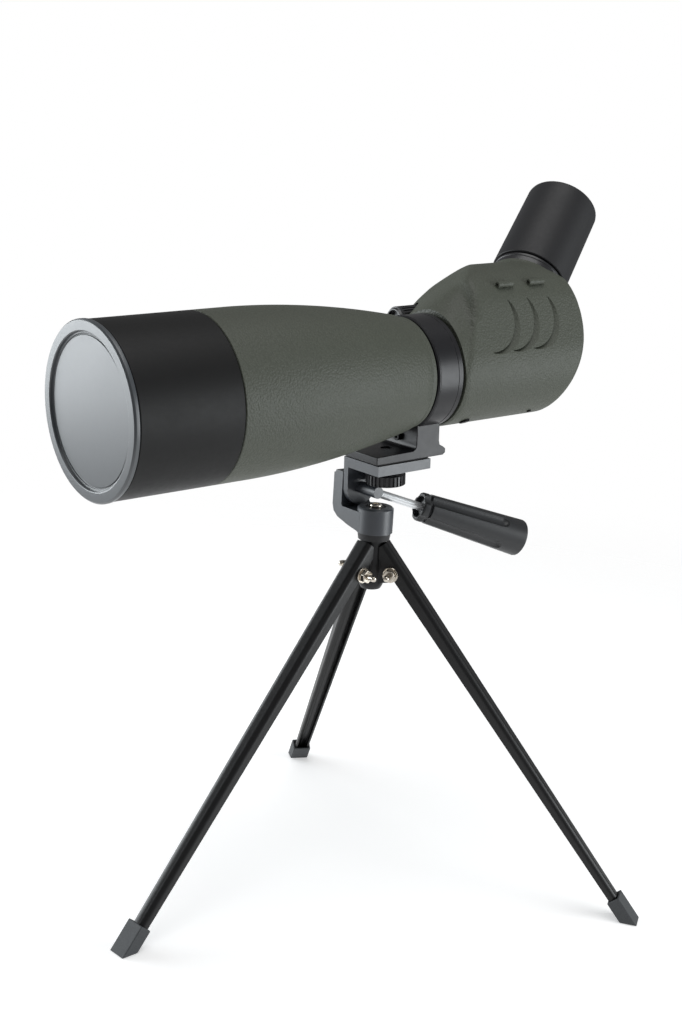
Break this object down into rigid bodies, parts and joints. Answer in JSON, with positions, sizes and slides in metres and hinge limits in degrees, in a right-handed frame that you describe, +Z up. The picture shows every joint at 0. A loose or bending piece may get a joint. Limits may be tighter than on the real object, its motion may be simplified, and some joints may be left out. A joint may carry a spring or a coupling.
{
  "type": "spotting scope on a tabletop tripod",
  "caption": "Angled spotting scope in green rubber armour, in a rotating collar on a small folding tripod with a pan and tilt head and a side handle.",
  "frame": {"origin": "on the floor, on the pan axis", "axes": "+Z up, +X forward towards the objective, +Y to the scope's left, the side the handle is on"},
  "size_m": [0.3251, 0.2648, 0.356],
  "materials": {
    "black_cast": "satin black",
    "nickel": "polished nickel",
    "black_sheet": "satin black",
    "foot_rubber": "matte rubber",
    "head_paint": "semi-gloss dark grey",
    "bright_rod": "polished",
    "grip_plastic": "fine grain",
    "pad_rubber": "matte",
    "black_plastic": "satin",
    "collar_paint": "semi-gloss",
    "black_tube": "black anodised",
    "armour": "pebbled green armour",
    "lens_glass": "coated",
    "shade_black": "matte black",
    "cap_plastic": "satin",
    "black_screw": "black oxide",
    "grip_rubber": "matte",
    "eye_cap_plastic": "matte"
  },
  "bodies": {
    "stand": {"spider": "black_cast", "pivot_screws": "nickel", "pivot_nuts": "nickel", "pan_screw": "nickel"},
    "leg_1": {"leg_1": "black_sheet", "foot_1": "foot_rubber"},
    "leg_2": {"leg_2": "black_sheet", "foot_2": "foot_rubber"},
    "leg_3": {"leg_3": "black_sheet", "foot_3": "foot_rubber"},
    "pan_head": {"pan_base": "head_paint", "tilt_pin": "black_screw"},
    "handle": {"handle_rod": "bright_rod", "handle_grip": "grip_plastic"},
    "head": {"platform": "head_paint", "top_pad": "pad_rubber", "collar": "collar_paint", "lock_screw": "black_screw"},
    "clamp": {"camera_screw": "black_plastic"},
    "scope": {"barrel_tube": "black_tube", "barrel_armour": "armour", "lens_cell": "black_tube", "objective_crown": "lens_glass", "objective_flint": "lens_glass", "prism_housing": "armour", "keeper_bars": "armour", "housing_screws": "black_screw", "prism_cage": "black_tube", "prism_front": "lens_glass", "prism_rear": "lens_glass", "eyepiece_body": "black_plastic", "field_lens": "lens_glass", "eye_lens": "lens_glass", "eyecup": "grip_rubber"},
    "shade": {"sun_shade": "shade_black"},
    "front_cap": {"objective_cap": "cap_plastic"},
    "focus": {"focus_knob": "black_plastic", "focus_knob_screw": "nickel"},
    "focus_slide": {"focus_carriage": "black_tube", "focus_lens": "lens_glass"},
    "zoom": {"zoom_ring": "grip_rubber"},
    "zoom_slide": {"zoom_carriage": "black_tube", "zoom_lens": "lens_glass"},
    "eye_cap": {"eyepiece_cap": "eye_cap_plastic"}
  },
  "joints": [
    {"name": "pan", "type": "hinge", "parent": "stand", "child": "pan_head", "pos_m": [0, 0, 0.19], "axis": [0, 0, 1], "continuous": true},
    {"name": "tilt", "type": "hinge", "parent": "pan_head", "child": "head", "pos_m": [0, 0, 0.203], "axis": [0, 1, 0], "range_deg": [-6, 40]},
    {"name": "handle_clamp", "type": "hinge", "parent": "head", "child": "handle", "pos_m": [-0.00001, -0.002, 0.2028], "axis": [-0.9083, 0.2815, -0.3094], "range_deg": [0, 360]},
    {"name": "camera_screw_turn", "type": "hinge", "parent": "head", "child": "clamp", "pos_m": [-0.00671, -0.002, 0.20932], "axis": [0.0471, 0, 0.9989], "continuous": true},
    {"name": "collar_roll", "type": "hinge", "parent": "head", "child": "scope", "pos_m": [-0.02032, -0.002, 0.26252], "axis": [0.9989, 0, -0.0471], "range_deg": [-114, 66]},
    {"name": "leg_1_fold", "type": "hinge", "parent": "stand", "child": "leg_1", "pos_m": [0.01125, 0.00102, 0.1632], "axis": [-0.0906, 0.9959, 0], "range_deg": [0, 38]},
    {"name": "leg_2_fold", "type": "hinge", "parent": "stand", "child": "leg_2", "pos_m": [-0.00651, 0.00923, 0.1632], "axis": [-0.8171, -0.5764, 0], "range_deg": [0, 38]},
    {"name": "leg_3_fold", "type": "hinge", "parent": "stand", "child": "leg_3", "pos_m": [-0.00474, -0.01026, 0.1632], "axis": [0.9078, -0.4195, 0], "range_deg": [0, 38]},
    {"name": "shade_slide", "type": "slide", "parent": "scope", "child": "shade", "axis": [0.9989, 0, -0.0471], "range_m": [0, 0.03]},
    {"name": "front_cap_pull", "type": "slide", "parent": "shade", "child": "front_cap", "axis": [0.9989, 0, -0.0471], "range_m": [0, 0.04]},
    {"name": "focus_turn", "type": "hinge", "parent": "scope", "child": "focus", "pos_m": [-0.03932, -0.03089, 0.28408], "axis": [0.9989, 0, -0.0471], "range_deg": [-364, 364]},
    {"name": "focus_travel", "type": "slide", "parent": "scope", "child": "focus_slide", "axis": [0.9989, 0, -0.0471], "range_m": [-0.003, 0.003]},
    {"name": "zoom_turn", "type": "hinge", "parent": "scope", "child": "zoom", "pos_m": [-0.11787, -0.02213, 0.31239], "axis": [-0.6759, -0.2876, 0.6786], "range_deg": [-1.5, 161.5]},
    {"name": "zoom_travel", "type": "slide", "parent": "scope", "child": "zoom_slide", "axis": [-0.6759, -0.2876, 0.6786], "range_m": [0, 0.008]},
    {"name": "eye_cap_pull", "type": "slide", "parent": "scope", "child": "eye_cap", "axis": [-0.6759, -0.2876, 0.6786], "range_m": [0, 0.065]}
  ],
  "couplings": [
    {"joint": "focus_turn", "follows": "focus_travel", "rad_per_m": 2094.4},
    {"joint": "zoom_turn", "follows": "zoom_travel", "rad_per_m": 349.07}
  ]
}
